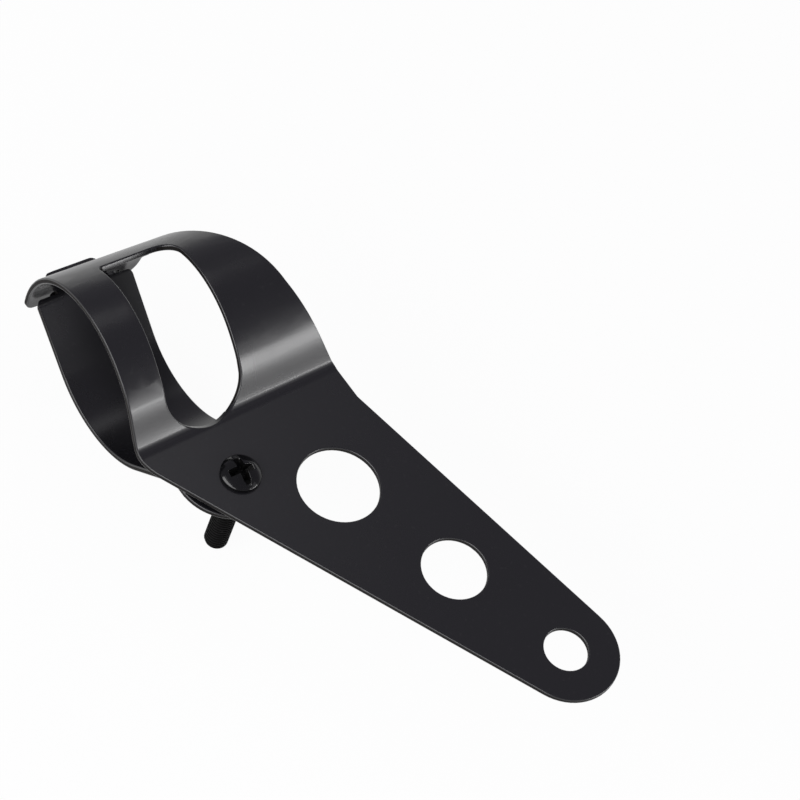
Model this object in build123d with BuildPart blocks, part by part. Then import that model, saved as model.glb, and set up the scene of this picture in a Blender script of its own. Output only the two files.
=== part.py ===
"""Headlight mounting bracket that clamps round a motorcycle fork tube.

Four pieces: a folded sheet-steel arm with the upper half of the clamp, a loose strap that is the lower
half, and the screw and nut that draw the two together. Millimetres. The origin is the fork's axis in the
middle of the clamp, +Y runs along the fork and +Z is square to the arm's flat outer face.
"""
import os
from math import acos, asin, cos, degrees, radians, sin, tan

from build123d import *

# Sheet and clamp; the arch is a little tighter towards the far side, by its taper for each millimetre
sheet = 1.5
fork_radius = 24.2
plate_height = 7.7
wall_angle = 50.0
plate_bend = 4.0
lip_drop = 2.4
lip_width = 30.8
lip_near_corner = 2.0
lip_far_corner = 6.0
arch_taper = 0.034

# Arm: large, middle and lamp holes on one line, and the rims round the first and the last
arm_turn = 20.0
large_hole_x = 55.0
large_hole_y = 19.35
large_hole = 20.0
middle_hole = 16.0
lamp_hole = 10.8
middle_pitch = 33.15
lamp_pitch = 64.6
root_rim = 21.9
tip_rim = 13.0

# Band edges in plan: near corner, far corner and the hollow between them and the lip
near_corner_lead = 3.0
near_corner_round = 14.0
far_corner_y = 37.9
far_corner_round = 4.0
waist_x = 9.0
waist_y = 31.6
waist_hollow = 0.4
sweep_bulge = 2.6

# Window in the arch, with a round end down in the wall
window_near = -8.45
window_far = 12.35
window_top = -15.0
window_top_near = -5.2
window_top_far = 14.5
window_sharp_corner = 1.5
window_round_corner = 5.0
window_foot = -0.6

# Slot in the lip and the strap's tongue
slot_height = 0.6
slot_width = 2.6
slot_length = 19.0
tongue_droop = 10.0
tongue_width = 14.0
tongue_reach = 4.9
tongue_corner = 1.6
kink_bend = 1.0

# Strap
strap_width = 26.3
strap_turn = 0.6
strap_bend = 24.0
hook_flank = 38.3
ear_flank = 45.0
ear_gap = 1.0
ear_bend = 2.5
ear_bend_lead = 6.9
ear_reach = 9.2
shoulder_gap = 0.6
shoulder_corner = 1.4

# Clamp screw and nut
screw_x = 42.1
screw_size = 6.0
screw_length = 30.0
screw_point = 0.8
head_size = 9.8
head_height = 2.8
head_rim = 0.9
recess_turn = -9.0
recess_span = 6.2
recess_width = 1.5
recess_depth = 1.8
notch_width = 1.2
notch_depth = 1.5
nut_across_flats = 10.0
nut_height = 5.0
nut_chamfer = 0.5
nut_gap = 0.3
thread_clearance = 0.1
plate_hole_clearance = 0.3
ear_hole_clearance = 0.6

# Sizes worked out from the above
arch_radius = fork_radius + sheet
lean = radians(wall_angle)
bend_x = (arch_radius - plate_height * cos(lean)) / sin(lean)
plate_under = plate_height - sheet
lip_end = -lip_drop
arm_plane = Plane(
    origin=(large_hole_x, large_hole_y, plate_height),
    x_dir=(cos(radians(arm_turn)), sin(radians(arm_turn)), 0),
    z_dir=(0, 0, 1),
)
taper = degrees(asin((root_rim - tip_rim) / lamp_pitch))
arm_end = large_hole_x + lamp_pitch + 2 * tip_rim
cut_span = 2 * (far_corner_y + root_rim)
trim_height = 3 * arch_radius
trim_floor = -arch_radius
lip_edge = lip_width / 2
lip_lean = arch_taper * (1 + sin(lean))
lip_set = lip_lean * lip_edge
lip_cut = 3 * sheet
ear_under = plate_under - ear_gap - sheet
ear_corner_x = screw_x - ear_bend_lead
ear_tip = screw_x + ear_reach
ear_round = strap_width / 2
tongue_tip = -arch_radius + lip_set - tongue_reach
shoulder_x = -fork_radius + lip_set + shoulder_gap


def arm_point(along, across):
    """Place a point given along and across the arm in the clamp's plan."""
    place = arm_plane.from_local_coords((along, across, 0))
    return (place.X, place.Y)


def edge_at_x(side, x):
    """Follow the arm's straight tapered edge, near side -1 or far side +1, to a place along X."""
    normal = radians(90 - taper)
    touch = arm_point(root_rim * cos(normal), side * root_rim * sin(normal))
    slope = tan(radians(arm_turn - side * taper))
    return (x, touch[1] + slope * (x - touch[0]))


def edge_at_y(side, y):
    """Follow the same edge to a place along Y."""
    start = edge_at_x(side, large_hole_x)
    slope = tan(radians(arm_turn - side * taper))
    return (start[0] + (y - start[1]) / slope, y)


# Arm plate: one folded sheet, its fold carried across from near to far and then trimmed to its plan outline
wall_top = (arch_radius * sin(lean), arch_radius * cos(lean))
wall_plane = Plane(
    origin=(bend_x, 0, plate_height),
    x_dir=(0, 1, 0),
    z_dir=(sin(lean), 0, cos(lean)),
)
near_corner = edge_at_x(-1, bend_x + near_corner_lead)
far_shoulder = edge_at_y(1, far_corner_y)
far_corner = (bend_x, far_corner_y)
waist = (waist_x, waist_y)
window_middle = (window_near + window_far) / 2
window_round = (window_far - window_near) / 2
window_centre = window_foot + window_round
window_join = bend_x - window_centre * cos(lean)
window_past = -arch_radius
window_rise = acos(window_top / arch_radius)
near_run = (window_top_near - window_near) / (window_top - window_join)
far_run = (window_top_far - window_far) / (window_top - window_join)
window_ridge = arch_radius * sin(window_rise)

# Punch for the window: its sides stand square to the plate, its upper end square to the arch
with BuildPart() as window_punch:
    with BuildSketch(Plane.XY) as window:
        with BuildLine():
            Polyline(
                (window_join, window_near),
                (window_join, window_far),
                (window_past, window_top_far + far_run * (window_past - window_top)),
                (window_past, window_top_near + near_run * (window_past - window_top)),
                close=True,
            )
        make_face()
    extrude(amount=trim_height)
    split(bisect_by=Plane(origin=(0, 0, 0), z_dir=(sin(window_rise), 0, -cos(window_rise))), keep=Keep.TOP)
    fillet(
        window_punch.edges().sort_by_distance((window_top, window_top_near, window_ridge))[0],
        window_sharp_corner,
    )
    fillet(
        window_punch.edges().sort_by_distance((window_top, window_top_far, window_ridge))[0],
        window_round_corner,
    )

with BuildPart() as arm_plate:
    for place in (-cut_span, cut_span):
        radius = arch_radius - arch_taper * (place + lip_edge)
        middle = (wall_top[0] - radius * sin(lean), wall_top[1] - radius * cos(lean))
        with BuildSketch(Plane.XZ.offset(-place)):
            with BuildLine():
                FilletPolyline((arm_end, plate_height), (bend_x, plate_height), wall_top, radius=plate_bend)
                CenterArc(middle, radius, 90 - wall_angle, 90 + wall_angle)
                Line((middle[0] - radius, middle[1]), (middle[0] - radius, lip_end))
                offset(amount=sheet, side=Side.LEFT)
            make_face()
    loft(ruled=True)

    with BuildSketch(Plane.XY.offset(trim_floor)) as outline:
        with BuildLine():
            tip_normal = 90 - taper
            tip_near = arm_point(
                lamp_pitch + tip_rim * cos(radians(tip_normal)),
                -tip_rim * sin(radians(tip_normal)),
            )
            tip_far = arm_point(
                lamp_pitch + tip_rim * cos(radians(tip_normal)),
                tip_rim * sin(radians(tip_normal)),
            )
            ThreePointArc(tip_near, arm_point(lamp_pitch + tip_rim, 0), tip_far)
            Polyline(tip_far, far_shoulder, far_corner)
            SagittaArc(far_corner, waist, waist_hollow)
            SagittaArc(waist, (-fork_radius, lip_edge), -sweep_bulge)
            Polyline(
                (-fork_radius, lip_edge),
                (tongue_tip, lip_edge),
                (tongue_tip, -lip_edge),
                (-fork_radius, -lip_edge),
                near_corner,
                tip_near,
            )
        make_face()
        fillet(outline.vertices().sort_by_distance(near_corner)[0], near_corner_round)
        fillet(outline.vertices().sort_by_distance(far_corner)[0], far_corner_round)
    extrude(amount=trim_height, mode=Mode.INTERSECT)

    with BuildSketch(Plane.YZ.offset(-arch_radius)) as lip_corners:
        for side, corner in ((-1, lip_near_corner), (1, lip_far_corner)):
            with Locations((side * lip_edge, lip_end)):
                Rectangle(2 * corner, 2 * corner)
            with Locations((side * (lip_edge - corner), lip_end + corner)):
                Circle(corner, mode=Mode.SUBTRACT)
    extrude(amount=lip_cut, both=True, mode=Mode.SUBTRACT)

    add(window_punch.part, mode=Mode.SUBTRACT)
    with BuildSketch(wall_plane) as window_end:
        with Locations((window_middle, window_centre)):
            Circle(window_round)
    extrude(amount=arch_radius / 4, both=True, mode=Mode.SUBTRACT)

    with BuildSketch(Plane.YZ.offset(-arch_radius)) as slot:
        with Locations((0, slot_height)):
            SlotOverall(slot_length, slot_width)
    extrude(amount=lip_cut, both=True, mode=Mode.SUBTRACT)

    with Locations(arm_plane):
        Hole(large_hole / 2)
    with Locations(arm_plane * Pos(middle_pitch, 0, 0)):
        Hole(middle_hole / 2)
    with Locations(arm_plane * Pos(lamp_pitch, 0, 0)):
        Hole(lamp_hole / 2)
    with Locations((screw_x, 0, plate_height)):
        Hole(screw_size / 2 + plate_hole_clearance)

# Clamp strap: one folded strip, hooked through the lip's slot at one end and bolted at the other
lip_middle = lip_set - (arch_radius + fork_radius) / 2
droop_slope = tan(radians(tongue_droop))
tongue_under = slot_height - sheet / 2 / cos(radians(tongue_droop))
tongue_end = (tongue_tip, tongue_under - droop_slope * (lip_middle - tongue_tip))
kink = (shoulder_x, tongue_under + droop_slope * (shoulder_x - lip_middle))
hook_slope = tan(radians(hook_flank))
ear_slope = tan(radians(ear_flank))
valley_x = (kink[1] + hook_slope * kink[0] - ear_under + ear_slope * ear_corner_x) / (ear_slope + hook_slope)
valley = (valley_x, ear_under - ear_slope * (ear_corner_x - valley_x))
strip_end = ear_tip - ear_round + shoulder_corner

with BuildPart() as clamp_strap:
    with BuildSketch(Plane.XZ) as strip:
        with BuildLine():
            FilletPolyline(
                tongue_end,
                kink,
                valley,
                (ear_corner_x, ear_under),
                (ear_tip, ear_under),
                radius=[kink_bend, strap_bend, ear_bend],
            )
            offset(amount=sheet, side=Side.LEFT)
        make_face()
    extrude(amount=strap_width, both=True)

    with BuildSketch(Plane.XY.offset(trim_floor)) as strap_outline:
        with BuildLine():
            Polyline(
                (shoulder_x - lip_lean * ear_round, -ear_round),
                (shoulder_x + lip_lean * ear_round, ear_round),
                (strip_end, ear_round),
                (strip_end, -ear_round),
                close=True,
            )
        make_face()
        fillet(strap_outline.vertices().sort_by(Axis.X)[:2], shoulder_corner)
        with Locations((ear_tip - ear_round, 0)):
            Circle(ear_round)
        with Locations(Pos((tongue_tip + shoulder_x) / 2 + tongue_corner, 0) * Rot(0, 0, -degrees(lip_lean))):
            RectangleRounded(shoulder_x - tongue_tip + 2 * tongue_corner, tongue_width, tongue_corner)
    extrude(amount=trim_height, mode=Mode.INTERSECT)

    with Locations((screw_x, 0, ear_under + sheet)):
        Hole(screw_size / 2 + ear_hole_clearance, depth=2 * sheet)
clamp_strap.part = clamp_strap.part.rotate(Axis((screw_x, 0, 0), (0, 0, 1)), strap_turn)

# Clamp screw: low domed head on the plate's face, cross recess with one longer notch
head_top = plate_height + head_height
screw_end = plate_height - screw_length
dome_height = head_height - head_rim
dome_radius = (dome_height**2 + (head_size / 2) ** 2) / (2 * dome_height)

with BuildPart() as clamp_screw:
    with BuildSketch(Plane.XZ) as screw_section:
        with BuildLine():
            rim_top = (head_size / 2, plate_height + head_rim)
            Polyline(
                (0, head_top),
                (0, screw_end),
                (screw_size / 2 - screw_point, screw_end),
                (screw_size / 2, screw_end + screw_point),
                (screw_size / 2, plate_height),
                (head_size / 2, plate_height),
                rim_top,
            )
            RadiusArc(rim_top, (0, head_top), -dome_radius)
        make_face()
    revolve(axis=Axis.Z)
    with BuildSketch(Plane.XY.offset(head_top)) as recess:
        Rectangle(recess_span, recess_width)
        Rectangle(recess_width, recess_span)
    extrude(amount=-recess_depth, mode=Mode.SUBTRACT)
    with BuildSketch(Plane.XY.offset(head_top)) as notch:
        Rectangle(head_size, notch_width)
    extrude(amount=-notch_depth, mode=Mode.SUBTRACT)
clamp_screw.part.location = Location((screw_x, 0, 0), (0, 0, recess_turn))

# Hex nut: under the ear, corners chamfered on both faces
nut_top = ear_under - nut_gap

with BuildPart() as hex_nut:
    with BuildSketch(Plane.XY.offset(nut_top)) as nut_blank:
        with Locations((screw_x, 0)):
            Circle(nut_across_flats / 2 / cos(radians(30)))
    extrude(amount=-nut_height)
    chamfer(hex_nut.edges().filter_by(GeomType.CIRCLE), nut_chamfer)
    with BuildSketch(Plane.XY.offset(nut_top)) as flats:
        with Locations((screw_x, 0)):
            RegularPolygon(nut_across_flats / 2, 6, major_radius=False)
    extrude(amount=-nut_height, mode=Mode.INTERSECT)
    with Locations((screw_x, 0, nut_top)):
        Hole(screw_size / 2 + thread_clearance, depth=nut_height)

os.makedirs("parts", exist_ok=True)
arm_plate.part.label = "arm_plate"
export_step(arm_plate.part, "parts/arm_plate.step")
clamp_strap.part.label = "clamp_strap"
export_step(clamp_strap.part, "parts/clamp_strap.step")
clamp_screw.part.label = "clamp_screw"
export_step(clamp_screw.part, "parts/clamp_screw.step")
hex_nut.part.label = "hex_nut"
export_step(hex_nut.part, "parts/hex_nut.step")
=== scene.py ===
"""Looks for the headlight mounting bracket: a black painted fork clamp with its screw and nut."""
from math import cos, pi, radians, sin, tan

import bpy
from mathutils import Matrix, Vector


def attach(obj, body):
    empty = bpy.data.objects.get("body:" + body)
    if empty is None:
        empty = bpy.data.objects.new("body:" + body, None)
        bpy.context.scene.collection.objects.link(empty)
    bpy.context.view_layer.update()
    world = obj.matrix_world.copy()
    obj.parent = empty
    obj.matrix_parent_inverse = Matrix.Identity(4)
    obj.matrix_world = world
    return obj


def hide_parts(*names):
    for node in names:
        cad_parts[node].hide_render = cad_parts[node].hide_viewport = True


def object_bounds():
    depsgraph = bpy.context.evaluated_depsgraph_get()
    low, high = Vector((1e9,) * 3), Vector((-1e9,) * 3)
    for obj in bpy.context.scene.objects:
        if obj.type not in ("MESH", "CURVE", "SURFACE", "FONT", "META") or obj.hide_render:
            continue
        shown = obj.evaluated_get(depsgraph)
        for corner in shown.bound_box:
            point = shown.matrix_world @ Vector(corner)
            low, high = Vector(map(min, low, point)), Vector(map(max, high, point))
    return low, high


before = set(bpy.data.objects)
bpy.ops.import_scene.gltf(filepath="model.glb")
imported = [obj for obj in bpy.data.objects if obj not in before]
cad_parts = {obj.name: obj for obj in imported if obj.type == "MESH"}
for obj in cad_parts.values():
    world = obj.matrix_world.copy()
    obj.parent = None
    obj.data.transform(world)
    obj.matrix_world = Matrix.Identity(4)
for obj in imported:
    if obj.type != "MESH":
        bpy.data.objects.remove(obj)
cad_low, cad_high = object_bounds()
MM = 0.001


# Arm plate: one blank of 1.5 mm steel sheet, punched, folded and rolled into the clamp's upper half.
# It is coated all over in satin black, and its edges are a little rounded by the press and the paint.
# The turn from the arch into the wall stands a little proud, to carry its highlight where it belongs.
SHEET = 1.5 * MM
SHEET_EDGE = 0.36 * MM
EDGE_SEGMENTS = 3
FOLD_ANGLE = radians(40)
SMOOTH_ANGLE = radians(32)
SAME_POINT = 0.002 * MM
FLAT_WITHIN = radians(0.6)

LIP_SLOT_BEYOND = -22.0 * MM
LIP_SLOT_HALF = 9.7 * MM
LIP_SLOT_TOP = 2.1 * MM
BEND_START, BEND_END = 25.5 * MM, 28.5 * MM
BEND_UNDER = 7.4 * MM
WINDOW_NEAR, WINDOW_FAR = -9.0 * MM, 13.0 * MM

WALL_TILT = radians(50)
WALL_TOP = Vector((19.69, 0.0, 16.52)) * MM
WALL_DOWN = Vector((cos(WALL_TILT), 0.0, -sin(WALL_TILT)))
WALL_OUT = Vector((sin(WALL_TILT), 0.0, cos(WALL_TILT)))

WINDOW_JOIN = 20.789 * MM
SLIVER_REACH = 0.6 * MM
SLIVER_SKIN = 0.1 * MM
SLIVER_WELD = 0.17 * MM

SHEARED_DEPTH = 3 * SHEET
SHEARED_INSET = 0.01 * MM
BROAD_ALONG = 0.2
BROAD_UPRIGHT = 0.05

SHOULDER_MIDDLE = 1.5 * MM
SHOULDER_SLANT = 0.06
SHOULDER_HALF = 9.0 * MM
SHOULDER_SWELL = 0.42 * MM
SHOULDER_CUTS = 12
SHOULDER_STEP = 1.0 * MM
SHOULDER_SNAP = 0.02 * MM

ARM_BLACK = (0.0066, 0.0063, 0.0080)
SATIN_COAT = dict(gloss=0.28, gloss_spread=0.08, dust_amount=0.03, peel_scale=1500.0, peel_height=0.2)
SATIN_IOR = 1.56
SHEARED_BLACK = (0.0085, 0.0075, 0.0072)
SHEARED_COAT = dict(gloss=0.55, gloss_spread=0.2, dust_amount=0.05, peel_scale=2600.0, peel_height=0.5)
SHEARED_IOR = 1.16
PAINT_DUST = (0.16, 0.155, 0.15)
PEEL_DETAIL, PEEL_ROUGHNESS = 2.0, 0.45
PEEL_DEPTH = 0.02 * MM
CLOUD_SCALE, CLOUD_DETAIL, CLOUD_MIDDLE = 55.0, 4.0, 0.5
SPECK_SCALE, SPECK_DETAIL = 900.0, 1.0
SPECK_FIRST, SPECK_FULL = 0.64, 0.78


def lone(piece):
    """Make one piece the only selected object."""
    bpy.ops.object.select_all(action="DESELECT")
    bpy.context.view_layer.objects.active = piece
    piece.select_set(True)


def sheet_copy(node, name):
    """Copy a piece's CAD mesh and join its loose triangles into whole faces."""
    piece = bpy.data.objects.new(name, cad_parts[node].data.copy())
    bpy.context.scene.collection.objects.link(piece)
    lone(piece)
    bpy.ops.mesh.customdata_custom_splitnormals_clear()
    bpy.ops.object.mode_set(mode="EDIT")
    bpy.ops.mesh.select_all(action="SELECT")
    bpy.ops.mesh.remove_doubles(threshold=SAME_POINT)
    bpy.ops.mesh.dissolve_limited(angle_limit=FLAT_WITHIN)
    bpy.ops.object.mode_set(mode="OBJECT")
    piece.data.materials.clear()
    return piece


def clear_slivers(piece):
    """Take out the slivers across the sheet where the window's straight sides meet its foot."""
    bpy.ops.object.mode_set(mode="EDIT")
    bpy.ops.mesh.select_mode(type="VERT")
    bpy.ops.mesh.select_all(action="DESELECT")
    bpy.ops.object.mode_set(mode="OBJECT")
    for vertex in piece.data.vertices:
        deep = (WALL_TOP - vertex.co).dot(WALL_OUT)
        across = SLIVER_SKIN < deep < SHEET - SLIVER_SKIN
        vertex.select = across and abs(vertex.co.x - WINDOW_JOIN) < SLIVER_REACH
    bpy.ops.object.mode_set(mode="EDIT")
    bpy.ops.mesh.dissolve_verts()
    bpy.ops.mesh.select_all(action="SELECT")
    bpy.ops.mesh.remove_doubles(threshold=SLIVER_WELD)
    bpy.ops.object.mode_set(mode="OBJECT")


def mark_sheared(piece):
    """Give the second material to the faces across the sheet, which have far more steel behind them."""
    bpy.context.view_layer.update()
    piece.data.calc_loop_triangles()
    widest = {}
    for part in piece.data.loop_triangles:
        held = widest.get(part.polygon_index)
        if held is None or part.area > held.area:
            widest[part.polygon_index] = part
    for index, part in widest.items():
        face = piece.data.polygons[index]
        if abs(face.normal.y) < BROAD_ALONG and abs(face.normal.z) > BROAD_UPRIGHT:
            continue
        middle = Vector(part.center)
        met, place, _, _ = piece.ray_cast(middle - SHEARED_INSET * face.normal, -face.normal)
        if met and (place - middle).length > SHEARED_DEPTH:
            face.material_index = 1


def round_edges(piece, edge_round, stays_sharp):
    """Round a piece's sharp edges, but not between two sheared faces or in its smallest forms."""
    sides = {}
    for face in piece.data.polygons:
        for key in face.edge_keys:
            sides.setdefault(key, []).append(face)
    weights = piece.data.attributes.new("bevel_weight_edge", "FLOAT", "EDGE")
    for edge in piece.data.edges:
        met = sides.get(edge.key, [])
        if len(met) != 2 or met[0].material_index + met[1].material_index == 2:
            continue
        if all(stays_sharp(piece.data.vertices[end].co) for end in edge.vertices):
            continue
        if met[0].normal.angle(met[1].normal, 0.0) > FOLD_ANGLE:
            weights.data[edge.index].value = 1.0
    rounding = piece.modifiers.new("sheared_edges", "BEVEL")
    rounding.use_clamp_overlap = False
    rounding.width = edge_round
    rounding.segments = EDGE_SEGMENTS
    rounding.limit_method = "WEIGHT"
    rounding.miter_outer = "MITER_ARC"
    rounding.material = 0
    bpy.ops.object.modifier_apply(modifier=rounding.name)


def in_slot_or_bend(place):
    """Tell whether a point lies on the slot's rim, or on the window's foot under the bend."""
    if place.x < LIP_SLOT_BEYOND:
        return abs(place.y) < LIP_SLOT_HALF and place.z < LIP_SLOT_TOP
    in_window = WINDOW_NEAR < place.y < WINDOW_FAR
    return BEND_START < place.x < BEND_END and in_window and place.z < BEND_UNDER


def settle_normals(piece):
    """Shade a piece smooth, with its broad faces kept flat beside the rounded edges."""
    bpy.ops.object.shade_smooth_by_angle(angle=SMOOTH_ANGLE)
    weigh = piece.modifiers.new("flat_faces", "WEIGHTED_NORMAL")
    weigh.keep_sharp = True
    bpy.ops.object.modifier_apply(modifier=weigh.name)


def swell_shoulder(piece):
    """Swell the turn from the arch into the wall a little, on cuts across the wall."""
    bpy.ops.object.mode_set(mode="EDIT")
    for step in range(1, SHOULDER_CUTS + 1):
        bpy.ops.mesh.select_all(action="SELECT")
        bpy.ops.mesh.bisect(
            plane_co=WALL_TOP + step * SHOULDER_STEP * WALL_DOWN,
            plane_no=WALL_DOWN,
            threshold=SHOULDER_SNAP,
        )
    bpy.ops.object.mode_set(mode="OBJECT")
    for vertex in piece.data.vertices:
        middle = SHOULDER_MIDDLE + SHOULDER_SLANT * vertex.co.y
        along = (vertex.co - WALL_TOP).dot(WALL_DOWN) - middle
        if abs(along) < SHOULDER_HALF:
            share = cos(pi * along / (2 * SHOULDER_HALF)) ** 2
            vertex.co += SHOULDER_SWELL * share * WALL_OUT


def paint_skin_group():
    """Build the skin that all the coats share: orange peel, uneven gloss and a little dust."""
    group = bpy.data.node_groups.new("paint_skin", "ShaderNodeTree")
    sockets = group.interface
    for name in ("Paint", "Dust"):
        sockets.new_socket(name, in_out="INPUT", socket_type="NodeSocketColor")
    for name in ("Gloss", "Gloss Spread", "Dust Amount", "Peel Scale", "Peel Height"):
        sockets.new_socket(name, in_out="INPUT", socket_type="NodeSocketFloat")
    sockets.new_socket("Color", in_out="OUTPUT", socket_type="NodeSocketColor")
    sockets.new_socket("Roughness", in_out="OUTPUT", socket_type="NodeSocketFloat")
    sockets.new_socket("Normal", in_out="OUTPUT", socket_type="NodeSocketVector")
    nodes, links = group.nodes, group.links
    taken = nodes.new("NodeGroupInput")
    given = nodes.new("NodeGroupOutput")
    place = nodes.new("ShaderNodeTexCoord")

    peel = nodes.new("ShaderNodeTexNoise")
    peel.inputs["Detail"].default_value = PEEL_DETAIL
    peel.inputs["Roughness"].default_value = PEEL_ROUGHNESS
    links.new(place.outputs["Object"], peel.inputs["Vector"])
    links.new(taken.outputs["Peel Scale"], peel.inputs["Scale"])
    bump = nodes.new("ShaderNodeBump")
    bump.inputs["Distance"].default_value = PEEL_DEPTH
    links.new(taken.outputs["Peel Height"], bump.inputs["Strength"])
    links.new(peel.outputs["Fac"], bump.inputs["Height"])
    links.new(bump.outputs["Normal"], given.inputs["Normal"])

    cloud = nodes.new("ShaderNodeTexNoise")
    cloud.inputs["Scale"].default_value = CLOUD_SCALE
    cloud.inputs["Detail"].default_value = CLOUD_DETAIL
    links.new(place.outputs["Object"], cloud.inputs["Vector"])
    centred = nodes.new("ShaderNodeMath")
    centred.operation = "SUBTRACT"
    centred.inputs[1].default_value = CLOUD_MIDDLE
    links.new(cloud.outputs["Fac"], centred.inputs[0])
    uneven = nodes.new("ShaderNodeMath")
    uneven.operation = "MULTIPLY_ADD"
    links.new(centred.outputs[0], uneven.inputs[0])
    links.new(taken.outputs["Gloss Spread"], uneven.inputs[1])
    links.new(taken.outputs["Gloss"], uneven.inputs[2])
    links.new(uneven.outputs[0], given.inputs["Roughness"])

    speck = nodes.new("ShaderNodeTexNoise")
    speck.inputs["Scale"].default_value = SPECK_SCALE
    speck.inputs["Detail"].default_value = SPECK_DETAIL
    links.new(place.outputs["Object"], speck.inputs["Vector"])
    few = nodes.new("ShaderNodeMapRange")
    few.inputs["From Min"].default_value = SPECK_FIRST
    few.inputs["From Max"].default_value = SPECK_FULL
    links.new(speck.outputs["Fac"], few.inputs["Value"])
    share = nodes.new("ShaderNodeMath")
    share.operation = "MULTIPLY"
    links.new(few.outputs["Result"], share.inputs[0])
    links.new(taken.outputs["Dust Amount"], share.inputs[1])
    colour = nodes.new("ShaderNodeMix")
    colour.data_type = "RGBA"
    links.new(share.outputs[0], colour.inputs["Factor"])
    links.new(taken.outputs["Paint"], colour.inputs["A"])
    links.new(taken.outputs["Dust"], colour.inputs["B"])
    links.new(colour.outputs["Result"], given.inputs["Color"])
    return group


paint_skin = paint_skin_group()


def painted(name, paint, light_bend, gloss, gloss_spread, dust_amount, peel_scale, peel_height):
    """Make a black coat on steel, with one piece's own values for the skin."""
    material = bpy.data.materials.new(name)
    material.use_nodes = True
    nodes, links = material.node_tree.nodes, material.node_tree.links
    shader = nodes["Principled BSDF"]
    shader.inputs["IOR"].default_value = light_bend
    skin = nodes.new("ShaderNodeGroup")
    skin.node_tree = paint_skin
    skin.inputs["Paint"].default_value = (*paint, 1)
    skin.inputs["Dust"].default_value = (*PAINT_DUST, 1)
    skin.inputs["Gloss"].default_value = gloss
    skin.inputs["Gloss Spread"].default_value = gloss_spread
    skin.inputs["Dust Amount"].default_value = dust_amount
    skin.inputs["Peel Scale"].default_value = peel_scale
    skin.inputs["Peel Height"].default_value = peel_height
    links.new(skin.outputs["Color"], shader.inputs["Base Color"])
    links.new(skin.outputs["Roughness"], shader.inputs["Roughness"])
    links.new(skin.outputs["Normal"], shader.inputs["Normal"])
    return material


arm = sheet_copy("arm_plate", "arm_sheet")
arm.data.materials.append(painted("arm_satin_black", ARM_BLACK, SATIN_IOR, **SATIN_COAT))
sheared_black = painted("sheared_edge_black", SHEARED_BLACK, SHEARED_IOR, **SHEARED_COAT)
arm.data.materials.append(sheared_black)
clear_slivers(arm)
mark_sheared(arm)
round_edges(arm, SHEET_EDGE, in_slot_or_bend)
swell_shoulder(arm)
settle_normals(arm)
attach(arm, "arm")
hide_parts("arm_plate")


# Clamp strap: a second strip of the same painted sheet, bent to close round the fork tube.
# Its narrow tongue hooks into the arm's slotted lip and its round ear is pulled up by the screw.
TONGUE_ROOT = -20.0 * MM
STRAP_BLACK = (0.0062, 0.0060, 0.0074)

strap = sheet_copy("clamp_strap", "strap_sheet")
strap.data.materials.append(painted("strap_satin_black", STRAP_BLACK, SATIN_IOR, **SATIN_COAT))
strap.data.materials.append(sheared_black)
mark_sheared(strap)
round_edges(strap, SHEET_EDGE, lambda place: place.x < TONGUE_ROOT)
settle_normals(strap)
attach(strap, "strap")
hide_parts("clamp_strap")


# Clamp screw: an M6 machine screw, 30 mm long, cold headed and rolled, finished in glossy black.
# Its low domed head has a cross recess and a shallow slot from rim to rim, and its thread runs up to
# the head. The thread is duller than the dome, and its dull coat is also put in the recess as painted
# shade.
SCREW_X = 42.1 * MM
SCREW_SEAT = 7.7 * MM
SCREW_LENGTH = 30.0 * MM
SCREW_POINT = 0.8 * MM
POINT_SPARE = 0.2 * MM
POINT_STEPS = 48
THREAD_TURNS = 30
THREAD_PITCH = 1.0 * MM
THREAD_CREST = 2.97 * MM
THREAD_ROOT = 2.39 * MM
THREAD_FLANK = radians(30)
THREAD_ROOT_SHARE = 1.15
THREAD_STEPS = 40
THREAD_SMOOTH = radians(28)
TURNED_WELD = 0.001 * MM
HEAD_RADIUS = 4.9 * MM
HEAD_HEIGHT = 2.8 * MM
HEAD_RIM = 0.9 * MM
HEAD_STEPS = 64
DOME_STEPS = 12
RECESS_TURN = radians(-9.0)
RECESS_SPAN = 8.8 * MM
RECESS_WIDTH = 2.0 * MM
RECESS_DEPTH = 2.4 * MM
RECESS_FOOT_SPAN = 0.3
RECESS_FOOT_WIDTH = 0.6
RIM_SLOT_SPAN = 2 * HEAD_RADIUS + 1.0 * MM
RIM_SLOT_WIDTH = 1.2 * MM
RIM_SLOT_DEPTH = 1.5 * MM
RIM_SLOT_PROUD = 0.01 * MM
HEAD_GRAIN = 0.075 * MM
HEAD_SOFTENING = 0.6
HEAD_SOFTENINGS = 16
HEAD_SMOOTH = radians(75)
RECESS_SHADE = 0.42 * MM
RECESS_INSIDE = HEAD_RADIUS - 0.3 * MM
SCREW_BLACK = (0.003, 0.003, 0.0034)
SCREW_COAT = dict(gloss=0.13, gloss_spread=0.06, dust_amount=0.03, peel_scale=1200.0, peel_height=0.1)
SCREW_IOR = 1.44
# The thread's duller coat, which is also put in the head's recess as painted shade.
THREAD_AND_RECESS_SHADE_BLACK = (0.003, 0.0029, 0.0028)
THREAD_AND_RECESS_SHADE_COAT = dict(gloss=0.40, gloss_spread=0.15, dust_amount=0.05, peel_scale=2400.0, peel_height=0.3)
THREAD_AND_RECESS_SHADE_IOR = 1.16


def cut_with(piece, tool, operation):
    """Apply a boolean with a tool that is thrown away afterwards."""
    lone(piece)
    step = piece.modifiers.new(operation.lower(), "BOOLEAN")
    step.operation = operation
    step.solver = "EXACT"
    step.object = tool
    bpy.ops.object.modifier_apply(modifier=step.name)
    bpy.data.objects.remove(tool)


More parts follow.
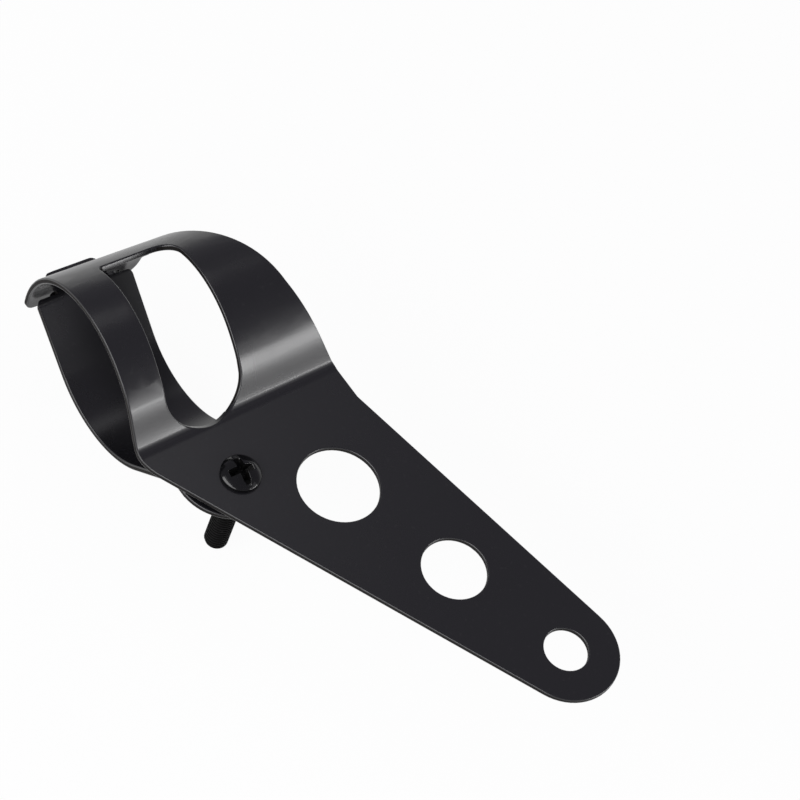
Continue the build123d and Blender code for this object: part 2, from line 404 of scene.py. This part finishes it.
def open_line(name, points):
    """Lay (radius, height) points out beside the Z axis as one open line."""
    bpy.ops.object.select_all(action="DESELECT")
    bpy.ops.mesh.primitive_circle_add(vertices=len(points) + 1, radius=MM)
    line = bpy.context.active_object
    line.name = name
    bpy.ops.object.mode_set(mode="EDIT")
    bpy.ops.mesh.select_all(action="DESELECT")
    bpy.ops.object.mode_set(mode="OBJECT")
    for vertex, (radius, height) in zip(line.data.vertices, points):
        vertex.co = (radius, 0, height)
    line.data.vertices[len(points)].select = True
    bpy.ops.object.mode_set(mode="EDIT")
    bpy.ops.mesh.delete(type="VERT")
    bpy.ops.object.mode_set(mode="OBJECT")
    return line


def turned(name, section, steps):
    """Spin a section of (radius, height) points round the Z axis into a closed solid."""
    piece = open_line(name, section)
    bpy.ops.object.mode_set(mode="EDIT")
    bpy.ops.mesh.select_all(action="SELECT")
    bpy.ops.mesh.spin(steps=steps, angle=2 * pi, center=(0, 0, 0), axis=(0, 0, 1))
    bpy.ops.mesh.select_all(action="SELECT")
    bpy.ops.mesh.remove_doubles(threshold=TURNED_WELD)
    bpy.ops.mesh.normals_make_consistent(inside=False)
    bpy.ops.object.mode_set(mode="OBJECT")
    return piece


def tapered_block(name, size, top, foot_long, foot_wide):
    """Add a block under a height on the screw's axis, its lower face drawn in along and across."""
    bpy.ops.object.select_all(action="DESELECT")
    bpy.ops.mesh.primitive_cube_add(size=1, location=(0, 0, top - size[2] / 2), scale=size)
    block = bpy.context.active_object
    block.name = name
    bpy.ops.object.transform_apply(location=True, rotation=True, scale=True)
    for vertex in block.data.vertices:
        if vertex.co.z < top - size[2] / 2:
            vertex.co.x *= foot_long
            vertex.co.y *= foot_wide
    return block


def turn_block(block, angle):
    """Turn a block about the screw's axis, with its place kept in its mesh."""
    lone(block)
    block.rotation_euler.z = angle
    bpy.ops.object.transform_apply(location=True, rotation=True, scale=True)
    return block


def threaded_rod(name, turns):
    """Wind one pitch of thread up the Z axis, with a turn to spare at each end that is cut off flat."""
    flank = (THREAD_CREST - THREAD_ROOT) * tan(THREAD_FLANK)
    flat = (THREAD_PITCH - 2 * flank) / 2
    root = flat * THREAD_ROOT_SHARE
    heights = (0, root, root + flank, flat * 2 + flank, THREAD_PITCH)
    radii = (THREAD_ROOT, THREAD_ROOT, THREAD_CREST, THREAD_CREST, THREAD_ROOT)
    rod = open_line(name, list(zip(radii, heights)))
    wind = rod.modifiers.new("wind", "SCREW")
    wind.axis = "Z"
    wind.angle = 2 * pi
    wind.screw_offset = THREAD_PITCH
    wind.iterations = turns + 2
    wind.steps = THREAD_STEPS
    wind.render_steps = THREAD_STEPS
    wind.use_merge_vertices = True
    wind.merge_threshold = TURNED_WELD
    bpy.ops.object.modifier_apply(modifier=wind.name)
    bpy.ops.object.mode_set(mode="EDIT")
    for height, side in ((THREAD_PITCH, -1), ((turns + 1) * THREAD_PITCH, 1)):
        bpy.ops.mesh.select_all(action="SELECT")
        bpy.ops.mesh.bisect(
            plane_co=(0, 0, height),
            plane_no=(0, 0, side),
            use_fill=True,
            clear_outer=True,
        )
    bpy.ops.mesh.select_all(action="SELECT")
    bpy.ops.mesh.remove_doubles(threshold=TURNED_WELD)
    bpy.ops.mesh.normals_make_consistent(inside=False)
    bpy.ops.transform.translate(value=(0, 0, -THREAD_PITCH))
    bpy.ops.object.mode_set(mode="OBJECT")
    return rod


rim_level = SCREW_LENGTH + HEAD_RIM
screw = threaded_rod("screw", THREAD_TURNS)
point = turned(
    "point",
    [
        (0, 0),
        (THREAD_CREST - SCREW_POINT, 0),
        (THREAD_CREST + POINT_SPARE, SCREW_POINT + POINT_SPARE),
        (THREAD_CREST + POINT_SPARE, rim_level),
        (0, rim_level),
    ],
    POINT_STEPS,
)
cut_with(screw, point, "INTERSECT")

dome_height = HEAD_HEIGHT - HEAD_RIM
dome_radius = (dome_height**2 + HEAD_RADIUS**2) / (2 * dome_height)
dome = []
for step in range(DOME_STEPS + 1):
    radius = HEAD_RADIUS * (1 - step / DOME_STEPS)
    height = rim_level + (dome_radius**2 - radius**2) ** 0.5 - (dome_radius - dome_height)
    dome.append((radius, height))
head = turned("head", [(0, SCREW_LENGTH), (HEAD_RADIUS, SCREW_LENGTH)] + dome, HEAD_STEPS)
head_top = SCREW_LENGTH + HEAD_HEIGHT
for angle in (RECESS_TURN, RECESS_TURN + pi / 2):
    wing = tapered_block(
        "wing",
        (RECESS_SPAN, RECESS_WIDTH, RECESS_DEPTH),
        head_top,
        foot_long=RECESS_FOOT_SPAN,
        foot_wide=RECESS_FOOT_WIDTH,
    )
    cut_with(head, turn_block(wing, angle), "DIFFERENCE")
rim_slot = tapered_block(
    "rim_slot",
    (RIM_SLOT_SPAN, RIM_SLOT_WIDTH, RIM_SLOT_DEPTH),
    head_top + RIM_SLOT_PROUD,
    foot_long=1.0,
    foot_wide=1.0,
)
cut_with(head, turn_block(rim_slot, RECESS_TURN), "DIFFERENCE")
lone(head)
forged = head.modifiers.new("forged", "REMESH")
forged.mode = "VOXEL"
forged.voxel_size = HEAD_GRAIN
bpy.ops.object.modifier_apply(modifier=forged.name)
softened = head.modifiers.new("softened", "SMOOTH")
softened.factor = HEAD_SOFTENING
softened.iterations = HEAD_SOFTENINGS
bpy.ops.object.modifier_apply(modifier=softened.name)
bpy.ops.object.shade_smooth_by_angle(angle=HEAD_SMOOTH)
lone(screw)
bpy.ops.object.shade_smooth_by_angle(angle=THREAD_SMOOTH)
head.select_set(True)
bpy.ops.object.join()
bpy.ops.object.mode_set(mode="EDIT")
bpy.ops.mesh.select_all(action="SELECT")
bpy.ops.mesh.remove_doubles(threshold=SAME_POINT)
bpy.ops.transform.translate(value=(SCREW_X, 0, SCREW_SEAT - SCREW_LENGTH))
bpy.ops.object.mode_set(mode="OBJECT")
screw.data.materials.append(painted("screw_gloss_black", SCREW_BLACK, SCREW_IOR, **SCREW_COAT))
screw.data.materials.append(painted("thread_and_recess_shade_black", THREAD_AND_RECESS_SHADE_BLACK, THREAD_AND_RECESS_SHADE_IOR, **THREAD_AND_RECESS_SHADE_COAT))
dome_middle = Vector((SCREW_X, 0, SCREW_SEAT + HEAD_HEIGHT - dome_radius))
# The thread and the recess take the second, duller coat; in the recess it is painted shade.
for face in screw.data.polygons:
    sunk = dome_radius - (face.center - dome_middle).length
    inside = (face.center.xy - dome_middle.xy).length < RECESS_INSIDE
    if face.center.z < SCREW_SEAT or (inside and sunk > RECESS_SHADE):
        face.material_index = 1
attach(screw, "screw")
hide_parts("clamp_screw")


# Hex nut: a plain M6 steel nut in the same black finish, screwed up under the strap's ear.
# Its corners are turned off on both faces, as a bar-turned nut's are.
NUT_EDGE = 0.12 * MM
NUT_BLACK = (0.008, 0.008, 0.0085)
NUT_COAT = dict(gloss=0.27, gloss_spread=0.10, dust_amount=0.05, peel_scale=1200.0, peel_height=0.15)
NUT_IOR = 1.56

nut = sheet_copy("hex_nut", "nut")
nut.data.materials.append(painted("nut_gloss_black", NUT_BLACK, NUT_IOR, **NUT_COAT))
round_edges(nut, NUT_EDGE, lambda place: False)
settle_normals(nut)
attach(nut, "nut")
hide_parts("hex_nut")


# Table: a white sheet of card that runs far out under the bracket, bright enough to lose its edges in
# the white background, and mirrored as white by the paint. It keeps a little of the bracket's shadow.
TABLE_SIZE = 6.0
TABLE_MIDDLE = (0.05, 0.01)
TABLE_GAP = 0.2 * MM
TABLE_WHITE = (0.9, 0.9, 0.9, 1)
TABLE_WHITENING = 0.95

bpy.ops.object.select_all(action="DESELECT")
bpy.ops.mesh.primitive_plane_add(size=TABLE_SIZE, location=(*TABLE_MIDDLE, cad_low.z - TABLE_GAP))
table = bpy.context.active_object
table.name = "table"
table_white = bpy.data.materials.new("table_white")
table_white.use_nodes = True
nodes, links = table_white.node_tree.nodes, table_white.node_tree.links
nodes.remove(nodes["Principled BSDF"])
matt_white = nodes.new("ShaderNodeBsdfDiffuse")
matt_white.inputs["Color"].default_value = TABLE_WHITE
seen_white = nodes.new("ShaderNodeEmission")
seen_white.inputs["Strength"].default_value = 1.0
ray = nodes.new("ShaderNodeLightPath")
either = nodes.new("ShaderNodeMath")
either.operation = "MAXIMUM"
links.new(ray.outputs["Is Camera Ray"], either.inputs[0])
links.new(ray.outputs["Is Glossy Ray"], either.inputs[1])
any_ray = nodes.new("ShaderNodeMath")
any_ray.operation = "MAXIMUM"
links.new(either.outputs[0], any_ray.inputs[0])
links.new(ray.outputs["Is Transmission Ray"], any_ray.inputs[1])
whiten = nodes.new("ShaderNodeMath")
whiten.operation = "MULTIPLY"
whiten.inputs[1].default_value = TABLE_WHITENING
links.new(any_ray.outputs[0], whiten.inputs[0])
blend = nodes.new("ShaderNodeMixShader")
links.new(whiten.outputs[0], blend.inputs["Fac"])
links.new(matt_white.outputs[0], blend.inputs[1])
links.new(seen_white.outputs[0], blend.inputs[2])
links.new(blend.outputs[0], nodes["Material Output"].inputs["Surface"])
table.data.materials.append(table_white)


# Studio: a pale room, white along the horizon and darker overhead, with soft boxes round the table.
# The broad front box gives the plain level, and the low right box draws the bright band along the
# clamp's foot. A dim box above that one softens the band, and a small one hangs over the arch.
FADE_FROM, FADE_TO = -0.04, 0.32
ROOM_LOW = (1.0, 1.0, 1.0, 1)
ROOM_HIGH = (0.262, 0.254, 0.292, 1)
BOXES_FACE = Vector((0.045, 0.015, 0.0))

world = bpy.data.worlds.new("studio")
bpy.context.scene.world = world
world.use_nodes = True
nodes, links = world.node_tree.nodes, world.node_tree.links
room = nodes["Background"]
direction = nodes.new("ShaderNodeTexCoord")
split = nodes.new("ShaderNodeSeparateXYZ")
links.new(direction.outputs["Generated"], split.inputs[0])
fade = nodes.new("ShaderNodeMapRange")
fade.interpolation_type = "SMOOTHSTEP"
fade.inputs["From Min"].default_value = FADE_FROM
fade.inputs["From Max"].default_value = FADE_TO
links.new(split.outputs["Z"], fade.inputs["Value"])
walls = nodes.new("ShaderNodeMix")
walls.data_type = "RGBA"
walls.inputs["A"].default_value = ROOM_LOW
walls.inputs["B"].default_value = ROOM_HIGH
links.new(fade.outputs["Result"], walls.inputs["Factor"])
links.new(walls.outputs["Result"], room.inputs["Color"])


def soft_box(name, azimuth, elevation, distance, size, radiance):
    """Hang a soft box that faces the bracket, at a compass angle and height seen from it."""
    turn = radians(azimuth)
    rise = radians(elevation)
    away = Vector((cos(rise) * cos(turn), cos(rise) * sin(turn), sin(rise)))
    bpy.ops.object.select_all(action="DESELECT")
    bpy.ops.object.light_add(type="AREA", location=BOXES_FACE + distance * away)
    lamp = bpy.context.active_object
    lamp.name = name
    lamp.data.shape = "RECTANGLE"
    lamp.data.size, lamp.data.size_y = size
    lamp.data.energy = radiance * pi * size[0] * size[1]
    lamp.rotation_mode = "QUATERNION"
    lamp.rotation_quaternion = (-away).to_track_quat("-Z", "Y")
    lamp.visible_camera = False


soft_box("front_box", azimuth=-88.0, elevation=28.0, distance=1.1, size=(1.5, 0.6), radiance=5.0)
soft_box("right_box", azimuth=31.0, elevation=17.0, distance=2.0, size=(1.2, 0.22), radiance=18.0)
soft_box("right_glow", azimuth=31.0, elevation=29.0, distance=2.0, size=(1.2, 0.5), radiance=0.5)
soft_box("top_box", azimuth=146.0, elevation=60.0, distance=1.2, size=(0.34, 0.34), radiance=0.8)


# Camera: at the photograph's place, looking down on the arm's face across the clamp.
# Its place, turn and lens are those that put the bracket's holes where the photograph has them.
LENS = 106.68
SENSOR_WIDTH = 36.0
CLIP_NEAR, CLIP_FAR = 0.01, 20.0
CAMERA_PLACE = Vector((0.229218, -0.239265, 0.459908))
CAMERA_RIGHT = Vector((0.57428, 0.77798, 0.25484))
CAMERA_UP = Vector((-0.74949, 0.37441, 0.54598))

lens = bpy.data.cameras.new("camera")
lens.lens = LENS
lens.sensor_width = SENSOR_WIDTH
lens.clip_start = CLIP_NEAR
lens.clip_end = CLIP_FAR
camera = bpy.data.objects.new("camera", lens)
bpy.context.scene.collection.objects.link(camera)
camera_back = CAMERA_RIGHT.cross(CAMERA_UP)
camera_turn = Matrix((CAMERA_RIGHT, CAMERA_UP, camera_back)).transposed()
camera.matrix_world = Matrix.Translation(CAMERA_PLACE) @ camera_turn.to_4x4()
bpy.context.scene.camera = camera
bpy.context.scene.view_settings.view_transform = "Standard"
